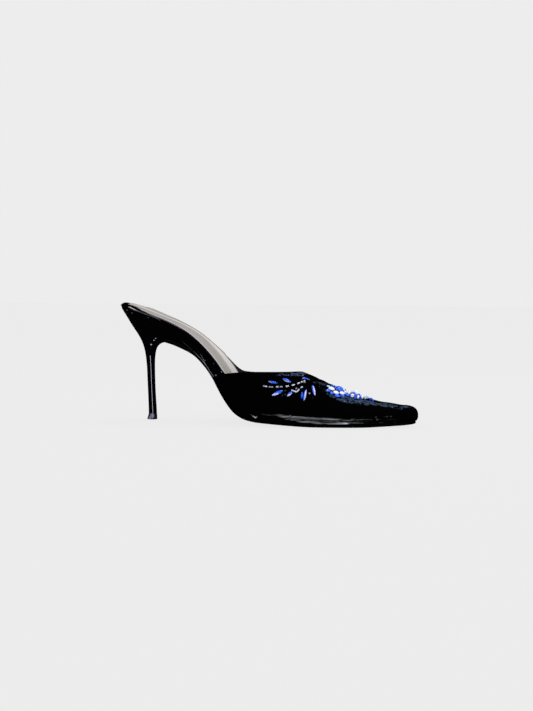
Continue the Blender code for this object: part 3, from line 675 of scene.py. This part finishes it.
def make_line(name, sign, surface, heights, stations, radius, wear_and_painted_light, material):
    """A fine line along one side of the waist or seat, just proud of the leather, with a painted
    highlight as strong as the given share along it.
    """
    start, end = stations
    points = []
    for i in range(LINE_STEPS + 1):
        station = start + (end - start) * i / LINE_STEPS
        away = Vector((SEAT_BACK + station * MM, sign * 60 * MM, heights(station) * MM))
        point, normal, _, _ = surface.ray_cast(away, Vector((0, -sign, 0)))
        points.append(point + normal * LINE_PROUD * MM)
    bm = swept(points, radius * MM)
    # How strong the line's painted highlight is along it
    paint(bm, "wear_and_painted_highlight", lambda v: wear_and_painted_light(station_of(v.co)))
    add_piece(name, bm, (material,))


def make_heel(finish):
    bm = solid_copy("heel")
    soften_edges(bm, 0.4 * MM, 40)
    add_piece("heel_cover", subdivided(bm), (finish,), ["heel"])


def make_tip():
    bm = solid_copy("heel_tip")
    soften_edges(bm, 0.25 * MM, 60)
    add_piece("top_piece", subdivided(bm), (tip_plastic(),), ["heel_tip"])


# ---------------------------------------------------------------- beading

# Which way the painted highlight and shade run across each petal stone, along the shoe and
# upwards, and how much is added to its paleness all over
PAINTED_HIGHLIGHT_SIDES = {
    1: (-0.4, -1.0, -0.25),
    2: (-0.35, -1.0, -0.2),
    3: (0.1, -1.0, -0.05),
    4: (0.6, -0.9, -0.03),
    5: (1.0, 0.0, -0.07),
    6: (1.0, 0.0, -0.55),
    7: (1.0, 0.4, -0.05),
    8: (-0.3, -1.0, -0.3),
    9: (0.6, -0.8, -0.15),
}
# How stones lie differently from their solids: moved along, across and up in millimetres, and
# turned on the wall in degrees
PETAL_SHIFTS = {
    "outer_1": (-0.1, 0.0, 0.1, 12),
    "outer_2": (-0.3, 0.0, -0.1, 0),
    "outer_5": (-0.5, 0.0, 0.4, 0),
    "outer_6": (1.0, 0.0, 0.4, 0),
    "outer_7": (-0.2, 0.0, 0.5, 0),
    "outer_8": (1.4, -0.3, 0.1, 0),
    "outer_9": (-1.9, 2.4, 0.6, -6),
    "inner_8": (0.0, 1.6, -0.8, 0),
    "inner_9": (0.0, 3.4, -1.6, 0),
}


def make_petals(side, surface):
    """The nine petal stones of one side, each a smooth dome on its own solid's outline."""
    names = [f"petal_{side}_{number}" for number in PAINTED_HIGHLIGHT_SIDES]
    joined = bmesh.new()
    layer = joined.verts.layers.float.new("pale")
    for name, (number, (along, up, share)) in zip(names, PAINTED_HIGHLIGHT_SIDES.items()):
        mesh = as_mesh(subdivided(solid_copy(name)), "petal")
        start = len(joined.verts)
        joined.from_mesh(mesh)
        joined.verts.ensure_lookup_table()
        stone = joined.verts[start:]
        *shift, turn = PETAL_SHIFTS.get(f"{side}_{number}", (0, 0, 0, 0))
        middle = sum((vertex.co for vertex in stone), Vector()) / len(stone)
        here, outward, _, _ = surface.find_nearest(middle)
        there = surface.find_nearest(here + Vector(shift) * MM)[0]
        bmesh.ops.rotate(joined, verts=stone, cent=middle,
                         matrix=Matrix.Rotation(radians(turn), 3, outward))
        bmesh.ops.translate(joined, verts=stone, vec=there - here)
        # Stores how far across the stone the painted highlight has come
        way = Vector((along, 0, up)).normalized()
        reaches = [vertex.co.dot(way) for vertex in stone]
        low, high = min(reaches), max(reaches)
        for vertex, reach in zip(stone, reaches):
            vertex[layer] = (reach - low) / (high - low) + share
        bpy.data.meshes.remove(mesh)
    add_piece(f"petals_{side}", joined, (PETAL_GLASS,), names)


def joined_beads(name, template, places, glasses, replaces=()):
    """Copies of a small template mesh, joined. A place is a matrix and the name of a glass."""
    joined = bmesh.new()
    for matrix, glass in places:
        start_verts, start_faces = len(joined.verts), len(joined.faces)
        joined.from_mesh(template)
        joined.verts.ensure_lookup_table()
        joined.faces.ensure_lookup_table()
        bmesh.ops.transform(joined, matrix=matrix, verts=joined.verts[start_verts:])
        for face in joined.faces[start_faces:]:
            face.material_index = glasses.index(glass)
    add_piece(name, joined, [BEAD_GLASS[glass] for glass in glasses], replaces)


def turned(bm, steps, name):
    """A profile turned once round the X axis."""
    bmesh.ops.spin(bm, geom=bm.verts[:] + bm.edges[:], cent=(0, 0, 0), axis=(1, 0, 0),
                   angle=2 * pi, steps=steps, use_merge=True, use_duplicate=False)
    bmesh.ops.recalc_face_normals(bm, faces=bm.faces)
    return as_mesh(bm, name)


def bugle_template():
    """A short glass tube, one long and one across, along X."""
    bm = bmesh.new()
    wall = [bm.verts.new(place) for place in (
        (-0.5, 0, 0.2), (-0.5, 0, 0.42), (-0.42, 0, 0.5), (0.42, 0, 0.5), (0.5, 0, 0.42),
        (0.5, 0, 0.2))]
    for pair in zip(wall, wall[1:] + wall[:1]):
        bm.edges.new(pair)
    return turned(bm, 12, "bugle")


def round_bead_template():
    """A round bead with its hole along X, one across."""
    upright = Matrix.Rotation(pi / 2, 4, "X")
    oval = Matrix.Translation((0, 0, 0.3)) @ Matrix.Diagonal((0.26, 1.0, 0.2, 1.0)) @ upright
    bm = bmesh.new()
    bmesh.ops.create_circle(bm, segments=8, radius=1.0, matrix=oval)
    return turned(bm, 14, "round_bead")


def leaf_template():
    """A flat-backed pointed stone, one long along X, one wide and one high."""
    bm = bmesh.new()
    bmesh.ops.create_uvsphere(bm, u_segments=16, v_segments=10, radius=0.5)
    bmesh.ops.rotate(bm, cent=(0, 0, 0), matrix=Matrix.Rotation(pi / 2, 3, "Y"), verts=bm.verts)
    for vertex in bm.verts:
        vertex.co.y *= max(0.0, 1 - (2 * vertex.co.x) ** 2) ** 0.35
        vertex.co.z = max(vertex.co.z, -0.2) * 1.4
    return as_mesh(bm, "leaf")


def dome_template():
    """A flat-backed round stone, one across."""
    bm = bmesh.new()
    bmesh.ops.create_uvsphere(bm, u_segments=24, v_segments=14, radius=0.5)
    for vertex in bm.verts:
        vertex.co.z = max(vertex.co.z, -0.1)
    return as_mesh(bm, "dome")


def frame_at(position, along, up, size):
    """A matrix that puts a template's X along a direction and its Z along another."""
    across = up.cross(along).normalized()
    ahead = across.cross(up).normalized()
    turn = Matrix((ahead, across, up)).transposed().to_4x4()
    return Matrix.Translation(position) @ turn @ Matrix.Diagonal((*size, 1.0))


def vamp_below(surface, station, y):
    """The vamp's point and outward direction under a place in plan, in millimetres."""
    start = Vector((SEAT_BACK + station * MM, y * MM, 0.2))
    point, normal, _, _ = surface.ray_cast(start, Vector((0, 0, -1)))
    return point, normal


STEM_STEPS = 12
STEM_REACH = 2.2 * MM       # how far along the shoe a step gathers the points of the stem


def stem_line(side):
    """Middle line of a bead stem, read from its solid, from the heel end to the flower end."""
    bm = solid_copy(f"bead_stem_{side}")
    points = sorted((v.co.copy() for v in bm.verts), key=lambda p: p.x)
    bm.free()
    low, high = points[0].x, points[-1].x
    line = []
    for i in range(STEM_STEPS + 1):
        x = low + (high - low) * i / STEM_STEPS
        near = [p for p in points if abs(p.x - x) < STEM_REACH]
        line.append(sum(near, Vector()) / len(near))
    return line


def along_line(line, x):
    """Point and direction where a line of points that runs along the shoe passes x."""
    for a, b in zip(line, line[1:]):
        if b.x >= x or b is line[-1]:
            return a.lerp(b, (x - a.x) / (b.x - a.x)), (b - a).normalized()


# Bugle beads along a stem: station, length and glass
STEM_BEADS = (
    (136.0, 1.3, "grey"), (138.0, 1.7, "lilac"), (141.2, 1.7, "grey"), (143.2, 1.5, "grey"),
    (147.4, 2.0, "silver"), (150.6, 2.3, "grey"), (155.5, 2.5, "silver"), (160.2, 2.7, "silver"),
    (163.9, 2.4, "silver"), (166.1, 1.7, "silver"), (167.9, 1.6, "silver"),
)
# Loose bugles beside the outer stem, and mirrored beside the inner one: both ends as station, y
# and z, and the glass
LOOSE_BUGLES = (
    ((159.2, -32.2, 31.1), (161.5, -32.2, 30.5), "lilac"),
    ((161.6, -32.2, 30.5), (163.7, -32.5, 29.7), "silver"),
    ((163.9, -32.2, 29.8), (165.4, -29.8, 31.6), "silver"),
    ((162.6, -30.4, 32.0), (163.3, -29.4, 32.6), "grey"),
    ((166.5, -27.9, 33.2), (167.7, -26.7, 33.9), "pale"),
    ((173.7, -30.6, 29.1), (174.8, -30.1, 28.6), "grey"),
    ((167.7, -21.0, 37.3), (168.5, -19.8, 36.2), "tan"),
    ((164.0, -10.9, 41.5), (164.8, -9.3, 41.8), "tan"),
)
BUGLE_ACROSS = 1.2
BUGLE_RISE = 0.6            # how far a bugle's middle stands off the wall, as a share of that


def sewn_bugle(surface, place, ahead, long, glass):
    """A bugle lying on the wall nearest to a place."""
    on_wall, outward, _, _ = surface.find_nearest(place)
    seat = on_wall + outward * BUGLE_RISE * BUGLE_ACROSS * MM
    return frame_at(seat, ahead, outward, (long, BUGLE_ACROSS * MM, BUGLE_ACROSS * MM)), glass


def make_stem_beads(side, surface):
    """Bugle beads sewn in a dashed line, and the few loose ones beside it."""
    line = stem_line(side)
    places = []
    for station, long, glass in STEM_BEADS:
        point, ahead = along_line(line, SEAT_BACK + station * MM)
        places.append(sewn_bugle(surface, point, ahead, long * MM, glass))
    flip = 1 if side == "outer" else -1
    for start, end, glass in LOOSE_BUGLES:
        first, last = (Vector((SEAT_BACK + station * MM, y * MM * flip, z * MM))
                       for station, y, z in (start, end))
        ahead = last - first
        places.append(sewn_bugle(surface, (first + last) / 2, ahead, ahead.length, glass))
    joined_beads(f"stem_beads_{side}", bugle_template(), places,
                 ("silver", "grey", "pale", "lilac", "tan"), [f"bead_stem_{side}"])


FLOWER_PLACE = (195.1, -6.6)        # station and y of the flower's middle
FLOWER_STONE = (7.2, 8.0, 5.2)      # length, width and height
STONE_RISE = 1.0                    # how far the stone's middle stands off the vamp
PETAL_RISE = 0.2                    # how far a petal stands off the vamp, as a share of its height
FLOWER_PETALS = (
    # from the middle along the shoe and across it, length, width and height, glass
    (-5.7, -3.6, 6.0, 4.6, 2.1, "white"), (-1.2, -8.2, 5.0, 5.0, 1.9, "white"),
    (3.4, -5.4, 4.8, 4.6, 2.1, "white"), (5.6, 2.2, 4.0, 3.6, 1.3, "white"),
    (2.8, 7.6, 4.0, 3.4, 0.9, "white"), (-2.8, 7.0, 4.0, 3.4, 1.2, "white"),
    (-6.0, 2.8, 3.6, 3.4, 1.4, "blue"), (-8.6, -1.2, 3.6, 3.2, 1.2, "pale"),
    (-7.6, -9.8, 4.2, 3.6, 1.5, "blue"), (-4.2, -12.0, 4.0, 3.4, 1.4, "blue"),
    (0.5, -12.6, 4.6, 4.4, 1.5, "blue"), (4.6, -9.6, 4.4, 4.0, 1.5, "blue"),
    (7.8, -4.8, 3.4, 3.0, 1.3, "blue"), (8.8, 0.4, 3.2, 3.0, 1.2, "blue"),
    (7.2, 6.2, 3.2, 3.0, 1.1, "blue"), (3.4, 12.0, 3.0, 2.8, 0.6, "blue"),
    (-1.4, 11.4, 3.2, 3.0, 1.0, "blue"), (-6.2, 8.4, 3.0, 2.8, 1.0, "blue"),
)


def make_flower(surface):
    """A raised blue stone in a ring of white petals and a ring of blue ones."""
    station, y = FLOWER_PLACE
    middle, up = vamp_below(surface, station, y)
    places = []
    for along, across, *size, glass in FLOWER_PETALS:
        point, outward = vamp_below(surface, station + along, y + across)
        place = point + outward * PETAL_RISE * size[2] * MM
        ahead = (point - middle).normalized()
        places.append((frame_at(place, ahead, outward, [s * MM for s in size]), glass))
    joined_beads("flower_petals", leaf_template(), places, ("blue", "white", "pale"),
                 ["flower"])
    stone = frame_at(middle + up * STONE_RISE * MM, Vector((1, 0, 0)), up,
                     [s * MM for s in FLOWER_STONE])
    joined_beads("flower_dome", dome_template(), [(stone, "stone")], ("stone",))


TRAIL = (
    # station, y, diameter, glass
    (201.4, -5.0, 2.8, "white"), (203.6, -7.6, 3.4, "white"), (204.4, 1.6, 1.8, "white"),
    (206.9, -11.4, 3.2, "white"), (208.6, -4.0, 5.2, "cloudy"), (211.6, -9.6, 3.1, "white"),
    (214.6, -5.6, 3.0, "white"), (218.0, -0.4, 2.5, "pale"), (221.5, -1.0, 2.6, "blue"),
    (223.6, -3.0, 1.7, "blue"), (205.6, -12.6, 2.0, "blue"), (207.2, -5.6, 3.0, "blue"),
    (210.0, -6.0, 2.8, "blue"), (211.6, -3.0, 2.6, "blue"), (203.9, -3.8, 2.2, "white"),
    (213.2, -8.4, 2.5, "blue"), (209.8, -12.6, 2.3, "blue"), (217.0, -4.8, 2.2, "pale"),
    (201.8, -8.6, 2.0, "pale"), (205.0, 7.8, 2.0, "white"), (209.6, 5.8, 2.2, "white"),
    (213.0, 3.4, 2.0, "white"), (217.0, 3.2, 1.8, "blue"), (200.6, -10.6, 2.0, "pale"),
    (212.4, 0.6, 2.2, "white"), (215.6, 0.6, 2.2, "white"),
)
BEAD_RISE = 0.42            # how far a bead's middle stands off the vamp, as a share of its size
BEAD_TURN = 2.4             # how far each bead is turned from the last, in radians


def make_trail(surface):
    """Round beads strewn from the flower to the toe, their holes pointing all ways."""
    places = []
    for i, (station, y, across, glass) in enumerate(TRAIL):
        point, outward = vamp_below(surface, station, y)
        ahead = Matrix.Rotation(i * BEAD_TURN, 3, outward) @ outward.orthogonal()
        size = across * MM
        place = point + outward * BEAD_RISE * size
        places.append((frame_at(place, ahead, outward, (size, size, size)), glass))
    joined_beads("trail_beads", round_bead_template(), places,
                 ("blue", "white", "pale", "cloudy"), ["bead_trail"])


# ---------------------------------------------------------------- studio

STAGE_RADIUS = 9.0


def add_softbox(name, place, target, width, height, power, colour=(1, 1, 1)):
    """A rectangular light turned to a target, out of the camera's sight."""
    lamp = bpy.data.lights.new(name, "AREA")
    lamp.shape = "RECTANGLE"
    lamp.size = width
    lamp.size_y = height
    lamp.energy = power
    lamp.color = colour
    box = bpy.data.objects.new(name, lamp)
    box.location = place
    box.rotation_euler = (Vector(target) - Vector(place)).to_track_quat("-Z", "Y").to_euler()
    box.visible_camera = False
    bpy.context.scene.collection.objects.link(box)


FRAME_SHIFT = (-0.0088, 0.0132)     # slides the view so that the shoe stands right in its frame


def add_camera():
    """The view of the outer side: 12 degrees round towards the toe and a little above."""
    round_to_toe, above, roll = radians(12.0), radians(3.6), radians(0.48)
    target = Vector((0.00575, 0.0, 0.05))
    back = Vector((cos(above) * sin(round_to_toe), -cos(above) * cos(round_to_toe), sin(above)))
    right = Vector((cos(round_to_toe), sin(round_to_toe), 0))
    up = back.cross(right)
    turned_right = right * cos(roll) + up * sin(roll)
    turned_up = up * cos(roll) - right * sin(roll)
    lens = bpy.data.cameras.new("camera")
    lens.lens = 58.98
    lens.sensor_width = 36.0
    lens.shift_x, lens.shift_y = FRAME_SHIFT
    camera = bpy.data.objects.new("camera", lens)
    bpy.context.scene.collection.objects.link(camera)
    turn = Matrix((turned_right, turned_up, back)).transposed().to_4x4()
    camera.matrix_world = Matrix.Translation(target + back) @ turn
    bpy.context.scene.camera = camera


def backdrop_finish(name, glow, body):
    """A matt finish that glows evenly; its body is how much of the shadows it shows."""
    finish = Finish(name)
    finish.surface(Base_Color=(body, body, body), Roughness=1.0, Specular_IOR_Level=0.0,
                   Emission_Color=(1, 1, 1), Emission_Strength=glow)
    return finish.material


def add_stage():
    """A pale floor and a pale dome round it, which the gloss doesn't mirror."""
    floor_bm = bmesh.new()
    bmesh.ops.create_circle(floor_bm, cap_ends=True, segments=64, radius=STAGE_RADIUS)
    dome_bm = bmesh.new()
    bmesh.ops.create_uvsphere(dome_bm, u_segments=48, v_segments=24, radius=STAGE_RADIUS)
    bmesh.ops.reverse_faces(dome_bm, faces=dome_bm.faces)
    for name, bm, finish in (
        ("floor", floor_bm, backdrop_finish("pale_floor", 0.79, 0.05)),
        ("dome", dome_bm, backdrop_finish("pale_dome", 0.847, 0.0)),
    ):
        mesh = as_mesh(bm, name)
        mesh.materials.append(finish)
        stage = bpy.data.objects.new(name, mesh)
        stage.visible_glossy = False
        bpy.context.scene.collection.objects.link(stage)


def from_side(azimuth, elevation, distance):
    """A place round the shoe: azimuth from straight out of its outer side towards the toe."""
    around, up = radians(azimuth), radians(elevation)
    return (distance * sin(around) * cos(up), -distance * cos(around) * cos(up), distance * sin(up))


def add_light():
    """A soft light high over the shoe and a tall strip that draws a line down the heel."""
    world = bpy.data.worlds.new("studio")
    world.use_nodes = True
    world.node_tree.nodes["Background"].inputs["Color"].default_value = (0.003, 0.003, 0.004, 1)
    bpy.context.scene.world = world
    add_softbox("top_softbox", (0.25, 0.3, 1.1), (0.05, 0, 0.04), 0.5, 0.4, 3.2)
    add_softbox("strip_softbox", from_side(13, -4, 1.3), (-0.1, 0, 0.04), 0.2, 0.75, 5.6,
                (0.85, 0.85, 1.0))


# ---------------------------------------------------------------- the shoe

bpy.context.scene.view_settings.view_transform = "Standard"

# Fine lines with a painted highlight: on the sole's upper edge at the waist and on the seam round the
# seat
edge_line_highlight = highlight_line_finish("painted_highlight_edge_line", (0.3, 0.3, 0.36))
seam_line_highlight = highlight_line_finish("painted_highlight_seam_line", (0.75, 0.68, 0.74))
patent_finish = patent()
vamp_surface = make_vamp()
sock_finish = sock_leather()
waist_surface = make_covered_insole(patent_finish, sock_finish)
for side_name, side in (("outer", -1), ("inner", 1)):
    make_line(f"edge_line_{side_name}", side, waist_surface, WAIST_EDGE, (62.0, 89.5), 0.24,
              lambda station: 0.08 + 0.92 * ease(station, 70, 80), edge_line_highlight)
make_line("seat_seam", -1, waist_surface, SEAT_SEAM, (13.6, 43.4), 0.4,
          lambda station: 0.1 + 0.9 * (1 - ease(station, 17, 25)), seam_line_highlight)
make_sock(sock_finish)
make_sole()
make_heel(patent_finish)
make_tip()
for side_name in ("outer", "inner"):
    make_petals(side_name, vamp_surface)
    make_stem_beads(side_name, vamp_surface)
make_flower(vamp_surface)
make_trail(vamp_surface)

add_stage()
add_light()
add_camera()
